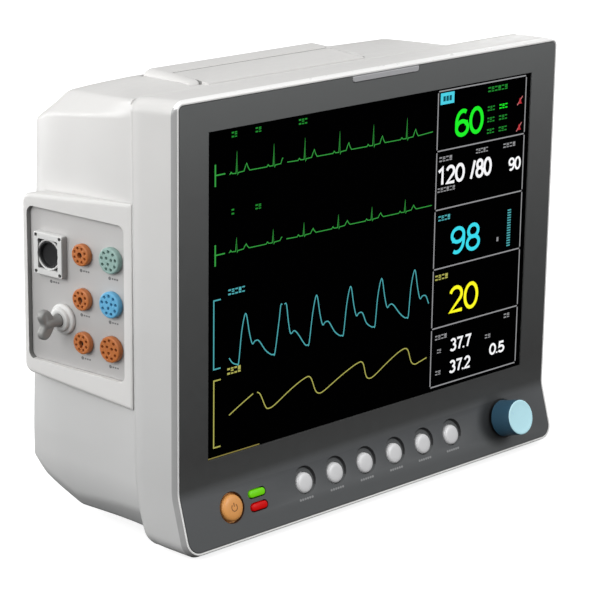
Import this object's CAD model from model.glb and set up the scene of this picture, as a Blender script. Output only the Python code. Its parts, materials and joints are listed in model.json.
import json
import math

import bmesh
import bpy
import numpy as np
from mathutils import Matrix, Vector

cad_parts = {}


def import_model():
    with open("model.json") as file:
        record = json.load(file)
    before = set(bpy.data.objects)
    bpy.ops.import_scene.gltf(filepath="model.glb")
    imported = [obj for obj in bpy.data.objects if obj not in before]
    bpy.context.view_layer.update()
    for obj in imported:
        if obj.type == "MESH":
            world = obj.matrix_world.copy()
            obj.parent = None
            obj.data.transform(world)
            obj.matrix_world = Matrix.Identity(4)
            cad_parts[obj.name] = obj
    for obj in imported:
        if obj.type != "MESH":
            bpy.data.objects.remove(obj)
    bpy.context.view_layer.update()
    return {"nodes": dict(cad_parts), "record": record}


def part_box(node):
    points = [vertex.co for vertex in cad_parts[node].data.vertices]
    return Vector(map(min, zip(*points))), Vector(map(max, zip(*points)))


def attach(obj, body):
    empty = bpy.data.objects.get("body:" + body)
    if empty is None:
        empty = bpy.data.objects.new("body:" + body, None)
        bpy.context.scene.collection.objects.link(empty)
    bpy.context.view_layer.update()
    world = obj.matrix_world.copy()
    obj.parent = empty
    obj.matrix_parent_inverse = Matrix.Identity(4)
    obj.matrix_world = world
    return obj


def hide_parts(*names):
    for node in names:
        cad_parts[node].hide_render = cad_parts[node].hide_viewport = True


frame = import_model()
BODY_OF = {
    part: body for body, parts in frame["record"]["behaviour"]["bodies"].items() for part in parts
}

# ------------------------------------------------------------------ sizes and places
window_low, window_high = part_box("screen_window")
ORIGIN_X = (window_low.x + window_high.x) / 2 * 1000
ORIGIN_Y = window_low.y * 1000 - 0.8
MM = 0.001

FRONT_HALF = 185.3  # half the width of the dark front sheet
FRONT_TOP = 313.1
CREASE_Z = 45.8  # above this the front is upright, below it leans
CHIN_LEAN = math.radians(16.8)
CHIN_DROP = 41.0
BEND = 4.0  # half the length of the soft bend
BEND_RADIUS = 2 * BEND / CHIN_LEAN
RIM, RIM_DEPTH, LIP, GAP = 2.9, 4.0, 1.8, 0.4
SEAM_Y, SEAM_HALF, SEAM_TOP = 40.0, 193.0, 314.0
CASE_BACK = 151.0
CASE_WALL = 2.5

HANDLE_LEFT, HANDLE_RIGHT, ARM = -130.0, 35.0, 8.0
PIVOT_Y, PIVOT_Z, PIVOT_RADIUS = 56.0, 309.6, 1.9
BAR_TOP, BAR_BACK, BAR_FRONT, BAR_LOW = 316.3, 104.0, 83.2, 305.4

# Controls: X, and height on the leaning strip measured from the crease
KEY_PITCH = 30.35
KEY_X = [-73.4 + KEY_PITCH * i for i in range(6)]
KEY_UP, KEY_RADIUS = -17.3, 7.5
DISH_SHIFT = (0.9, 1.5)
POWER_X, POWER_UP, POWER_RADIUS = -142.5, -18.2, 9.3
LAMP_X, LAMP_WIDTH, LAMP_HEIGHT, LAMP_UP = -118.1, 14.6, 5.0, (-13.5, -22.9)
KNOB_X, KNOB_UP = 136.0, -17.6

# Left side: places are (Y, Z)
SIDE_FLARE = math.radians(7.6)
PANEL_DEPTH = 3.6
SMALL_SOCKETS = ((86.3, 199.2), (86.3, 167.7), (85.9, 136.9))
LARGE_SOCKETS = ((60.1, 200.0), (60.1, 169.1), (60.1, 137.6))
FLANGE_Y, FLANGE_Z = 115.6, 194.2
PORT_Y, PORT_Z = 105.6, 149.9
RECESS_Y, RECESS_Z = (45.8, 136.5), (116.0, 226.0)

DOOR_Y, DOOR_Z = (60.0, 135.0), (38.0, 98.0)
HINGE_X, HINGE_Z = 189.0, 40.4
CASE_SCREWS = ((-160.0, 60.0), (166.0, 120.0), (-156.0, 262.0), (20.0, 262.0))

LEAN_SIN, LEAN_COS = math.sin(CHIN_LEAN), math.cos(CHIN_LEAN)
FLARE_TAN, FLARE_SIN, FLARE_COS = math.tan(SIDE_FLARE), math.sin(SIDE_FLARE), math.cos(SIDE_FLARE)


def world(point):
    return Vector(((point[0] + ORIGIN_X) * MM, (point[1] + ORIGIN_Y) * MM, point[2] * MM))


# Placers turn two coordinates in a plane and a third across it into a point.
def side_on(y, z, x):
    return (x, y, z)


def face_on(x, z, y):
    return (x, y, z)


def top_down(x, y, z):
    return (x, y, z)


def chin(x, up, depth):
    """On the leaning strip; depth runs into the case."""
    return (x, up * LEAN_SIN + depth * LEAN_COS, CREASE_Z + up * LEAN_COS - depth * LEAN_SIN)


def pod(y, z, depth):
    """On the flared left side; depth runs inwards."""
    x = -(FRONT_HALF + RIM) - FLARE_TAN * (y - RIM_DEPTH) + depth * FLARE_COS
    return (x, y + depth * FLARE_SIN, z)


def at(placer, across, up):
    """The placer with its origin moved in its plane."""
    return lambda a, b, depth: placer(across + a, up + b, depth)


def on_pod(y, z):
    """Around (y, z) on the socket panel; height stands out from it."""
    def placer(across, up, height):
        near = pod(y, z, PANEL_DEPTH - height)
        return (near[0] - across * FLARE_SIN, near[1] + across * FLARE_COS, near[2] + up)
    return placer


# ------------------------------------------------------------------ materials
LOOK = {}


def feed(tree, target, inputs):
    """Links each input that is given as a socket and sets the others."""
    for key, value in inputs.items():
        if isinstance(value, bpy.types.NodeSocket):
            tree.links.new(value, target.inputs[key])
        else:
            target.inputs[key].default_value = value


def node(tree, kind, output, inputs=(), **settings):
    """Adds a shader node and returns the named output."""
    made = tree.nodes.new("ShaderNode" + kind)
    for key, value in settings.items():
        setattr(made, key, value)
    feed(tree, made, dict(inputs))
    return made.outputs[output]


def noise(tree, vector, scale, detail=2.0):
    return node(tree, "TexNoise", "Fac", {"Vector": vector, "Scale": scale, "Detail": detail})


def calculate(tree, operation, *values):
    return node(tree, "Math", "Value", dict(enumerate(values)), operation=operation)


def map_range(tree, value, source, target=(0.0, 1.0), **settings):
    limits = {"From Min": source[0], "From Max": source[1], "To Min": target[0],
              "To Max": target[1]}
    return node(tree, "MapRange", "Result", {"Value": value, **limits}, **settings)


def mix(tree, factor, first, second, blend="MIX"):
    return node(tree, "Mix", "Result", {"Factor": factor, "A": first, "B": second},
                data_type="RGBA", blend_type=blend)


def stretched(tree, coords, **mapping):
    inputs = {key.title(): value for key, value in mapping.items()}
    return node(tree, "Mapping", "Vector", {"Vector": coords, **inputs})


def bevel(tree, radius):
    return node(tree, "Bevel", "Normal", {"Radius": radius}, samples=4)


def new_material(name):
    """Starts a material and returns its node tree and main shader."""
    LOOK[name] = bpy.data.materials.new(name)
    LOOK[name].use_nodes = True
    tree = LOOK[name].node_tree
    return tree, tree.nodes["Principled BSDF"]


def finish(name, color, rough, grain, mottle, metal=0.0, rough_drift=0.08, wear=0.0,
           wear_color=None, scratch=0.0, specular=0.5, coat=0.0, radius=0.0006, glow=None,
           streak=None, gradient=None, smudge=None):
    """A moulded or metal finish.

    grain: noise scale, bump strength      mottle: share by which the colour drifts
    radius: softening of edges, in metres  wear, wear_color: paler worn edges
    scratch: depth of hairline scratches   streak: stretch of brushed lines
    glow: colour, strength                 gradient: (height in metres, colour factor) stops
    smudge: grime around a place, darkest within its inner radius, none beyond its outer
    """
    tree, shader = new_material(name)
    coords = node(tree, "TexCoord", "Object")
    drift = noise(tree, coords, scale=14.0, detail=4.0)
    blotches = noise(tree, coords, scale=140.0, detail=3.0)
    height = noise(tree, coords, scale=grain[0])

    drift_share = calculate(tree, "MULTIPLY", drift, 0.65)
    shift = calculate(tree, "MULTIPLY_ADD", blotches, 0.35, drift_share)
    tint = mix(tree, shift, (*[c * (1 - mottle) for c in color], 1),
               (*[min(1.0, c * (1 + mottle)) for c in color], 1))
    if gradient:
        low, high = gradient[0][0], gradient[-1][0]
        up = node(tree, "SeparateXYZ", "Z", {0: coords})
        ramp = node(tree, "ValToRGB", "Color", {"Fac": map_range(tree, up, (low, high))})
        stops = ramp.node.color_ramp.elements
        while len(stops) < len(gradient):
            stops.new(0.5)
        for stop, (place, factor) in zip(stops, gradient):
            stop.position = (place - low) / (high - low)
            stop.color = (*factor, 1)
        tint = mix(tree, 1.0, ramp, tint, "MULTIPLY")
    if smudge:
        away = node(tree, "VectorMath", "Value", {0: coords, 1: smudge["place"]},
                    operation="DISTANCE")
        fade = map_range(tree, away, (smudge["inner"], smudge["outer"]),
                         (smudge["darkest"], 1.0), interpolation_type="SMOOTHSTEP")
        tint = mix(tree, 1.0, tint, fade, "MULTIPLY")

    if scratch:
        lines = noise(tree, stretched(tree, coords, scale=(30.0, 900.0, 900.0),
                                      rotation=(0.2, 0.5, 0.4)), scale=1.0)
        cuts = map_range(tree, lines, (0.68, 0.78))
        height = calculate(tree, "MULTIPLY_ADD", cuts, -scratch, height)
    if streak:
        strands = noise(tree, stretched(tree, coords, scale=streak), scale=1.0, detail=3.0)
        height = calculate(tree, "ADD", strands, height)
    relief = {"Strength": grain[1], "Distance": 0.0004, "Height": height}
    if radius:
        relief["Normal"] = bevel(tree, radius)

    if wear and radius:
        edge = bevel(tree, radius * 1.6)
        facing = node(tree, "VectorMath", "Value",
                      {0: edge, 1: node(tree, "NewGeometry", "Normal")}, operation="DOT_PRODUCT")
        edges = map_range(tree, facing, (0.995, 0.90))
        amount = calculate(tree, "MULTIPLY", calculate(tree, "MULTIPLY", edges, blotches), wear)
        worn = wear_color or [min(1.0, c * 1.25 + 0.05) for c in color]
        tint = mix(tree, amount, tint, (*worn, 1))

    shine = map_range(tree, blotches, (0.3, 0.7),
                      (max(0.02, rough - rough_drift), min(1.0, rough + rough_drift)))
    feed(tree, shader, {
        "Base Color": tint, "Normal": node(tree, "Bump", "Normal", relief), "Roughness": shine,
        "Metallic": metal, "Specular IOR Level": specular, "Coat Weight": coat,
        "Coat Roughness": 0.15,
    })
    if glow:
        feed(tree, shader, {"Emission Color": (*glow[0], 1), "Emission Strength": glow[1]})


def lit(name, color):
    """A lit mark on the screen: its colour comes from light, with a faint cell pattern."""
    tree, shader = new_material(name)
    cells = noise(tree, node(tree, "TexCoord", "Object"), scale=900.0)
    strength = map_range(tree, cells, (0.0, 1.0), (0.85, 1.15))
    feed(tree, shader, {
        "Base Color": (*[c * 0.15 for c in color], 1), "Specular IOR Level": 0.0,
        "Emission Color": mix(tree, 1.0, (*color, 1), strength, "MULTIPLY"),
        "Roughness": strength, "Emission Strength": 1.0,
    })


def srgb(*levels):
    """Linear colour from display levels of 0 to 255."""
    return tuple(v / 255 / 12.92 if v <= 10 else ((v / 255 + 0.055) / 1.055) ** 2.4
                 for v in levels)


WHITE = (0.655, 0.648, 0.636)
SHELL = dict(rough=0.42, grain=(1500, 0.10), mottle=0.012, wear=0.25,
             wear_color=(0.9, 0.89, 0.87), scratch=0.08)
SOCKET = dict(rough=0.42, grain=(2200, 0.12), radius=0.0004)
BEZEL = dict(grain=(1700, 0.14), radius=0.0)
PRINT = dict(rough=0.7, grain=(2500, 0.2), radius=0.0)
LAMP = dict(rough=0.3, grain=(2000, 0.03), mottle=0.05, radius=0.0003)

finish("white_shell", WHITE, **SHELL, gradient=[
    (0.0, (0.76, 0.77, 0.78)), (0.05, (0.82, 0.83, 0.84)), (0.10, (0.88, 0.89, 0.90)),
    (0.20, (0.95, 0.955, 0.96)), (0.29, (1.0, 1.0, 1.0))])
finish("white_case", WHITE, **SHELL, gradient=[
    (0.0, (0.50, 0.51, 0.52)), (0.016, (0.54, 0.55, 0.56)), (0.030, (0.70, 0.71, 0.72)),
    (0.046, (0.84, 0.85, 0.86)), (0.10, (0.90, 0.91, 0.92)), (0.20, (0.955, 0.96, 0.965)),
    (0.29, (1.0, 1.0, 1.0))])
finish("pod_shell", (0.74, 0.733, 0.72), **SHELL, gradient=[
    (0.09, (1.0, 1.0, 1.0)), (0.17, (0.965, 0.965, 0.965)), (0.24, (0.93, 0.93, 0.93))])
finish("hose_fitting_metal", (0.29, 0.29, 0.283), rough=0.50, metal=0.25, grain=(1600, 0.10),
       mottle=0.06, wear=0.4, wear_color=(0.6, 0.6, 0.59), scratch=0.4, radius=0.0005)
finish("shadow_groove", (0.26, 0.26, 0.255), rough=0.55, grain=(1500, 0.10), mottle=0.02,
       radius=0.0)
finish("zinc_plate", (0.60, 0.60, 0.60), rough=0.38, metal=0.35, grain=(1400, 0.12), mottle=0.03,
       streak=(30, 900, 900), wear=0.3, wear_color=(0.85, 0.85, 0.85), scratch=0.4)
finish("white_rim", (0.90, 0.90, 0.89), rough=0.33, grain=(1500, 0.06), mottle=0.012, wear=0.3,
       wear_color=(0.95, 0.95, 0.94), scratch=0.05)
finish("flange_edge", (0.30, 0.30, 0.295), rough=0.45, grain=(1600, 0.1), mottle=0.03, radius=0.0)
finish("dark_bezel", (1, 1, 1), rough=0.5, grain=(1700, 0.14), mottle=0.03, wear=0.10,
       scratch=0.3, wear_color=(0.16, 0.16, 0.16), specular=0.35, radius=0.0004,
       gradient=[(0.0, srgb(90, 92, 93)), (0.040, srgb(92, 94, 96)), (0.049, srgb(75, 76, 76)),
                 (0.070, srgb(71, 71, 71)), (0.110, srgb(76, 77, 77)), (0.180, srgb(85, 86, 86)),
                 (0.250, srgb(98, 99, 99)), (0.313, srgb(114, 116, 116))],
       smudge=dict(place=tuple(world(chin(KNOB_X - 8.0, KNOB_UP, 0.0))), inner=0.012,
                   outer=0.023, darkest=0.30))
finish("dark_bezel_dish", srgb(88, 90, 91), rough=0.55, mottle=0.03, specular=0.3, **BEZEL)
finish("dark_brown_ring", srgb(62, 38, 24), rough=0.5, mottle=0.1, **BEZEL)
finish("rim_shadow_line", srgb(158, 158, 158), rough=0.4, grain=(1500, 0.06), mottle=0.02,
       radius=0.0)
finish("black_moulding", (0.016, 0.016, 0.017), rough=0.45, grain=(1500, 0.15), mottle=0.1,
       wear=0.2, wear_color=(0.08, 0.08, 0.08))
finish("screen_glass_dark", (0.0006, 0.0006, 0.0007), rough=0.25, grain=(2500, 0.01), mottle=0.1,
       rough_drift=0.04, specular=0.0, radius=0.0)
finish("panel_shell", (0.56, 0.552, 0.545), rough=0.5, grain=(1600, 0.12), mottle=0.015,
       wear=0.15, wear_color=(0.8, 0.8, 0.78), scratch=0.15,
       gradient=[(0.11, (0.80, 0.80, 0.80)), (0.23, (1.0, 1.0, 1.0))])
finish("recess_wall", (0.20, 0.20, 0.195), rough=0.5, grain=(1600, 0.12), mottle=0.02, radius=0.0)
finish("flange_shell", (0.68, 0.68, 0.67), rough=0.4, grain=(1600, 0.1), mottle=0.02, wear=0.3,
       wear_color=(0.9, 0.9, 0.9))
finish("socket_orange", srgb(188, 110, 56), mottle=0.05, wear=0.25,
       wear_color=srgb(240, 170, 120), **SOCKET)
finish("power_orange", srgb(238, 166, 92), rough=0.4, grain=(2200, 0.10), mottle=0.04, wear=0.2,
       wear_color=srgb(250, 200, 140), radius=0.0004)
finish("socket_mint", srgb(148, 178, 171), mottle=0.04, wear=0.2, **SOCKET)
finish("socket_blue", srgb(98, 172, 212), mottle=0.04, wear=0.2, **SOCKET)
finish("knob_side_blue", srgb(58, 98, 122), rough=0.42, grain=(1800, 0.14), mottle=0.06, wear=0.3,
       wear_color=srgb(120, 165, 190), radius=0.0005)
finish("knob_face_blue", srgb(196, 240, 250), rough=0.35, grain=(1800, 0.08), mottle=0.05,
       wear=0.2, radius=0.0004, glow=(srgb(170, 225, 240), 0.10))
finish("key_silver", (0.80, 0.80, 0.81), rough=0.42, metal=0.12, grain=(2600, 0.10), mottle=0.03,
       wear=0.2, wear_color=(0.85, 0.85, 0.85), radius=0.0004)
finish("lamp_green", srgb(110, 205, 14), specular=0.3, glow=(srgb(110, 225, 10), 0.22), **LAMP)
finish("lamp_red", srgb(190, 10, 8), specular=0.2, glow=(srgb(225, 8, 6), 0.22), **LAMP)
finish("alarm_lens_frosted", srgb(194, 194, 197), rough=0.35, grain=(900, 0.12), mottle=0.03,
       coat=0.2, radius=0.0004)
finish("sheet_steel", (0.56, 0.57, 0.58), rough=0.33, metal=1.0, grain=(1400, 0.1), mottle=0.04,
       streak=(40, 1200, 1200), wear=0.2, wear_color=(0.8, 0.8, 0.8))
finish("nickel_plate", (0.33, 0.33, 0.32), rough=0.40, metal=0.55, grain=(1600, 0.10),
       mottle=0.06, wear=0.4, wear_color=(0.85, 0.85, 0.84), scratch=0.5, radius=0.0005)
finish("circuit_board", (0.012, 0.10, 0.045), rough=0.4, grain=(500, 0.3), mottle=0.3, coat=0.3,
       radius=0.0003)
finish("foot_rubber", (0.03, 0.03, 0.032), rough=0.8, grain=(900, 0.35), mottle=0.2, wear=0.3,
       wear_color=(0.12, 0.12, 0.12))
finish("battery_wrap", (0.03, 0.04, 0.11), rough=0.35, grain=(700, 0.12), mottle=0.1, coat=0.3)
finish("contact_gold", (0.72, 0.5, 0.2), rough=0.3, metal=1.0, grain=(2000, 0.08), mottle=0.05,
       radius=0.0)
finish("printed_grey", (0.18, 0.18, 0.18), mottle=0.15, **PRINT)
finish("printed_pale", srgb(150, 151, 152), mottle=0.1, **PRINT)
finish("printed_brown", srgb(150, 98, 52), mottle=0.1, **PRINT)
finish("socket_pit", (0.01, 0.008, 0.007), rough=0.8, grain=(1500, 0.2), mottle=0.2, radius=0.0)

# Each ink of the picture: material name, display levels of its light
INKS = {
    "green": ("screen_green", (30, 232, 40)),
    "trace": ("screen_trace_green", (52, 150, 62)),
    "dimgreen": ("screen_dim_green", (34, 130, 46)),
    "cyan": ("screen_cyan", (58, 212, 228)),
    "teal": ("screen_teal", (74, 160, 166)),
    "yellow": ("screen_yellow", (246, 242, 34)),
    "olive": ("screen_olive", (166, 164, 84)),
    "edge": ("screen_edge_olive", (128, 118, 62)),
    "white": ("screen_white", (238, 238, 240)),
    "grey": ("screen_frame_grey", (142, 142, 144)),
    "dim": ("screen_label_grey", (138, 138, 140)),
    "ink": ("screen_ink", (18, 78, 92)),
    "red": ("screen_red", (176, 44, 52)),
    "redline": ("screen_red_line", (205, 120, 122)),
    "box": ("screen_box_cyan", (74, 202, 222)),
}
for ink_name, ink_levels in INKS.values():
    lit(ink_name, srgb(*ink_levels))


# ------------------------------------------------------------------ outlines
def arc(x, y, radius, start, end, count):
    """Points of a circle's arc, between two angles in degrees."""
    return ellipse(x, y, radius, radius, start, end, count)


def ellipse(x, y, radius_x, radius_y, start, end, count=16):
    angles = [math.radians(start + (end - start) * i / (count - 1)) for i in range(count)]
    return [(x + radius_x * math.cos(a), y + radius_y * math.sin(a)) for a in angles]


def rounded_rect(x0, x1, y0, y1, radius, steps=8):
    return (arc(x1 - radius, y1 - radius, radius, 0, 90, steps)
            + arc(x0 + radius, y1 - radius, radius, 90, 180, steps)
            + arc(x0 + radius, y0 + radius, radius, 180, 270, steps)
            + arc(x1 - radius, y0 + radius, radius, 270, 360, steps))


def pill(x, up, width, height, trim, steps=9):
    """A round-ended bar about (x, up); trim keeps its end arcs just apart."""
    return rounded_rect(x - width / 2, x + width / 2, up - height / 2, up + height / 2,
                        height / 2 - trim, steps)


def fillet(points, radii, count=5):
    """Each corner of a closed outline becomes count points of a soft curve."""
    out = []
    for i in range(len(points)):
        before, corner, after = [Vector(points[j % len(points)]) for j in (i - 1, i, i + 1)]
        radius = radii[i] if isinstance(radii, list) else radii
        back, ahead = before - corner, after - corner
        start = corner + back.normalized() * min(radius, back.length * 0.45)
        end = corner + ahead.normalized() * min(radius, ahead.length * 0.45)
        for k in range(count):
            t = k / (count - 1)
            point = start * (1 - t) ** 2 + corner * 2 * t * (1 - t) + end * t * t
            out.append((point.x, point.y))
    return out


# ------------------------------------------------------------------ solids
def solid(verts, faces):
    shape = bmesh.new()
    made = [shape.verts.new(Vector(v)) for v in verts]
    for face in faces:
        shape.faces.new([made[i] for i in face])
    bmesh.ops.recalc_face_normals(shape, faces=shape.faces[:])
    return shape


def merged(shapes):
    out = bmesh.new()
    for shape in shapes:
        mesh = bpy.data.meshes.new("tmp")
        shape.to_mesh(mesh)
        shape.free()
        out.from_mesh(mesh)
        bpy.data.meshes.remove(mesh)
    return out


def boxes(*limits):
    """Boxes, each given as x0, x1, y0, y1, z0, z1."""
    shape = bmesh.new()
    for x0, x1, y0, y1, z0, z1 in limits:
        matrix = Matrix.Translation(((x0 + x1) / 2, (y0 + y1) / 2, (z0 + z1) / 2))
        matrix = matrix @ Matrix.Diagonal((x1 - x0, y1 - y0, z1 - z0, 1))
        bmesh.ops.create_cube(shape, size=1.0, matrix=matrix)
    return shape


def soft_box(limits, radius):
    shape = boxes(limits)
    bmesh.ops.bevel(shape, geom=shape.edges[:], offset=radius, segments=2, affect="EDGES",
                    profile=0.5)
    return shape


def ring(loop, placer, depth):
    return [placer(u, v, depth) for u, v in loop]


def prism(loop, placer, start, end):
    """A flat outline carried from one depth to another."""
    count = len(loop)
    faces = [list(range(count)), list(range(2 * count - 1, count - 1, -1))]
    for i in range(count):
        j = (i + 1) % count
        faces.append([i, j, count + j, count + i])
    return solid(ring(loop, placer, start) + ring(loop, placer, end), faces)


def loft(rings, closed=False):
    """A skin through rings of points: closed on itself, or else capped at both ends."""
    count, last = len(rings[0]), len(rings) - 1
    faces = []
    for k in range(last + closed):
        a, b = k * count, ((k + 1) % len(rings)) * count
        for i in range(count):
            j = (i + 1) % count
            faces.append([a + i, a + j, b + j, b + i])
    if not closed:
        faces.append(list(range(count)))
        faces.append(list(range(last * count, (last + 1) * count))[::-1])
    return solid([point for points in rings for point in points], faces)


def spin(profile, steps, placer):
    """A turned solid. The profile's columns are radius and depth."""
    rows, verts = [], []
    for radius, depth in profile:
        start = len(verts)
        if radius < 1e-6:
            verts.append(placer(0, 0, depth))
        else:
            for i in range(steps):
                angle = 2 * math.pi * i / steps
                verts.append(placer(radius * math.cos(angle), radius * math.sin(angle), depth))
        rows.append(list(range(start, len(verts))))
    faces = []
    # A profile that starts off the axis closes on itself as a tube.
    wrap = [rows[0]] if len(rows[0]) > 1 else []
    for a, b in zip(rows, rows[1:] + wrap):
        for i in range(steps):
            j = (i + 1) % steps
            if len(a) == 1:
                faces.append([a[0], b[j], b[i]])
            elif len(b) == 1:
                faces.append([a[i], a[j], b[0]])
            else:
                faces.append([a[i], a[j], b[j], b[i]])
    return solid(verts, faces)


def drum(radius, start, end, placer, steps=40):
    return spin([(0, start), (radius, start), (radius, end), (0, end)], steps, placer)


# ------------------------------------------------------------------ objects
SHARP = {}  # the angle in degrees above which each object's edges stay sharp


def shade(ob):
    ob.data.shade_smooth()
    ob.data.set_sharp_from_angle(angle=math.radians(SHARP[ob.name]))


def make(name, shape, look=None, sharp=35.0):
    bmesh.ops.translate(shape, vec=(ORIGIN_X, ORIGIN_Y, 0), verts=shape.verts[:])
    bmesh.ops.scale(shape, vec=(MM, MM, MM), verts=shape.verts[:])
    mesh = bpy.data.meshes.new(name)
    shape.to_mesh(mesh)
    shape.free()
    ob = bpy.data.objects.new(name, mesh)
    bpy.context.scene.collection.objects.link(ob)
    if look:
        mesh.materials.append(LOOK[look])
    SHARP[ob.name] = sharp
    shade(ob)
    return ob


def boolean(ob, operation, shapes):
    tool = make("tool_" + ob.name, merged(shapes))
    modifier = ob.modifiers.new("bool", "BOOLEAN")
    modifier.operation = operation
    modifier.solver = "EXACT"
    modifier.object = tool
    bpy.context.view_layer.update()
    graph = bpy.context.evaluated_depsgraph_get()
    result = bpy.data.meshes.new_from_object(ob.evaluated_get(graph))
    ob.modifiers.remove(modifier)
    old = ob.data
    ob.data = result
    bpy.data.meshes.remove(old)
    result.name = ob.name
    bpy.data.objects.remove(tool, do_unlink=True)
    shade(ob)


def cut(ob, *shapes):
    boolean(ob, "DIFFERENCE", shapes)


def join(ob, *shapes):
    boolean(ob, "UNION", shapes)


def paint(ob, looks, choose):
    """Adds looks; choose(centre in mm, normal) gives each face its material slot."""
    for look in looks:
        ob.data.materials.append(LOOK[look])
    for face in ob.data.polygons:
        x, y, z = face.center
        place = (x / MM - ORIGIN_X, y / MM - ORIGIN_Y, z / MM)
        face.material_index = int(choose(place, face.normal))


def stands_for(ob, cad):
    """ob takes the place of a CAD node and moves with its body."""
    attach(ob, BODY_OF[cad])
    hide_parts(cad)


def detail(ob, slot, body="monitor"):
    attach(ob, body)


# ------------------------------------------------------------------ front housing
def sheet(x, up, depth):
    """The bent front: upright above the crease, leaning below it, with a soft bend between."""
    if up >= BEND:
        return (x, depth, CREASE_Z + up)
    if up <= -BEND:
        return chin(x, up, depth)
    turn = (BEND - up) / (2 * BEND) * CHIN_LEAN
    y = -BEND_RADIUS * (1 - math.cos(turn)) + depth * math.cos(turn)
    z = CREASE_Z + BEND - BEND_RADIUS * math.sin(turn) - depth * math.sin(turn)
    return (x, y, z)


TOP_STEPS = 9
BEND_STEPS = 6
SIDE_UP = [BEND * (1 - k / 3) for k in range(BEND_STEPS + 1)] + [-11.0, -18.0, -25.0]


def outline(grow, top_radius=3.0):
    """The front's outline, left half first, from the middle of the top round to the bottom."""
    top, bottom = FRONT_TOP - CREASE_Z, -CHIN_DROP
    upper, lower = max(top_radius + grow, 0.4), max(9.0 + grow, 0.4)
    left = (arc(-FRONT_HALF - grow + upper, top + grow - upper, upper, 90, 180, TOP_STEPS)
            + [(-FRONT_HALF - grow, up) for up in SIDE_UP]
            + arc(-FRONT_HALF - grow + lower, bottom - grow + lower, lower, 180, 270, 12))
    return left + [(-x, up) for x, up in left[::-1]]


def sheet_loop(grow, depth, top_radius=3.0):
    return ring(outline(grow, top_radius), sheet, depth)


def seam_y(z):
    return float(np.interp(z, (5.0, 14.0, 41.0, 62.0), (23.0, 28.4, 36.9, SEAM_Y)))


def seam_loop(inward, back=0.0):
    """The outline where the housing meets the rear case."""
    top, bottom, seam_bottom = FRONT_TOP + RIM, 3.4, 4.4
    middle, half = (SEAM_TOP + seam_bottom) / 2, (SEAM_TOP - seam_bottom) / 2
    out = []
    for x, _, z in sheet_loop(RIM, RIM_DEPTH, 7.0):
        share = (z - bottom) / (top - bottom)
        z = z + (SEAM_TOP - top) * share + 1.0 * (1 - share)
        x = x * SEAM_HALF / (FRONT_HALF + RIM)
        x -= math.copysign(inward * min(1.0, abs(x) / SEAM_HALF * 1.02), x)
        z -= math.copysign(inward * min(1.0, (abs(z - middle) / half) ** 12), z - middle)
        out.append((x, seam_y(z) + back, z))
    return out


def between(first, second, share):
    return [tuple(a * (1 - share) + b * share for a, b in zip(p, q))
            for p, q in zip(first, second)]


def front_housing():
    front, seam = sheet_loop(RIM + 0.12, RIM_DEPTH + 1.2, 7.0), seam_loop(0.0)
    rings = [
        sheet_loop(GAP, 5.0), sheet_loop(GAP, 0.45), sheet_loop(GAP + 0.12, 0.15),
        sheet_loop(GAP + 0.4, 0.0), sheet_loop(LIP - 0.35, 0.0), sheet_loop(LIP - 0.12, 0.06),
        sheet_loop(LIP + 0.06, 0.3), sheet_loop(RIM - 0.22, RIM_DEPTH - 0.7, 4.5),
        sheet_loop(RIM - 0.04, RIM_DEPTH + 0.1, 6.0), front,
        between(front, seam, 0.35), between(front, seam, 0.7), seam_loop(-0.3, -3.2),
    ]
    for degrees in (0, 18, 36, 54, 72, 88):
        turn = math.radians(degrees)
        rings.append(seam_loop(-0.4 + 1.2 * (1 - math.cos(turn)), -2.4 + 2.4 * math.sin(turn)))
    rings += [seam_loop(2.6), sheet_loop(RIM - 2.5, 7.4), sheet_loop(-5.0, 7.4),
              sheet_loop(-5.0, 5.0)]
    housing = make("front_housing_shell", loft(rings, closed=True), "white_shell", sharp=28)
    stands_for(housing, "front_housing")
    housing.data.materials.append(LOOK["white_rim"])
    housing.data.materials.append(LOOK["rim_shadow_line"])
    # The lip is bright all round; the bands behind it are bright along the top only.
    count = len(rings[0])
    for band in range(2, 9):
        for i in range(count):
            near = (rings[band][i], rings[band][(i + 1) % count], rings[band + 1][i])
            bright = band < 6 or sum(point[2] for point in near) / 3 > FRONT_TOP - 1.0
            housing.data.polygons[band * count + i].material_index = 1 if bright else 2


front_housing()


# ------------------------------------------------------------------ front sheet
def bent_sheet():
    """The dark front as a solid 3 thick, with its bend split into flat strips."""
    edge = outline(0.0)
    count = len(edge)
    last = TOP_STEPS + BEND_STEPS
    upper = list(range(TOP_STEPS + 1)) + list(range(count - 1 - TOP_STEPS, count))
    lower = list(range(last, count - last))
    faces = []
    for base, order in ((0, 1), (count, -1)):
        faces.append([i + base for i in upper][::order])
        faces.append([i + base for i in lower][::order])
        for a in range(TOP_STEPS, last):
            strip = (a, a + 1, count - 2 - a, count - 1 - a)
            faces.append([i + base for i in strip][::order])
    for i in range(count):
        j = (i + 1) % count
        faces.append([i, j, count + j, count + i])
    return solid(ring(edge, sheet, 0.0) + ring(edge, sheet, 3.0), faces)


def dish(x):
    """A shallow dish that is deeper towards its upper right, so the key sits low in it."""
    def placer(across, up, depth):
        if depth > 0.2:
            depth = depth * (1 + 0.75 * (0.5 * across + 0.86 * up) / 10.6)
        return chin(x + DISH_SHIFT[0] + across, KEY_UP + DISH_SHIFT[1] + up, depth)
    return spin([(0, -3), (11.2, -3), (10.8, -0.02), (10.35, 0.15), (10.0, 0.6), (9.4, 1.25),
                 (9.0, 1.35), (0, 1.35)], 64, placer)


def lens_outline(radius, top):
    """A bar along the top edge, (X, Z), with round lower corners."""
    left, right, z = -26.0, 36.0, 311.1
    return ([(right + radius, top), (left - radius, top)] + arc(left, z, radius, 180, 270, 8)
            + arc(right, z, radius, 270, 360, 8))


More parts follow.
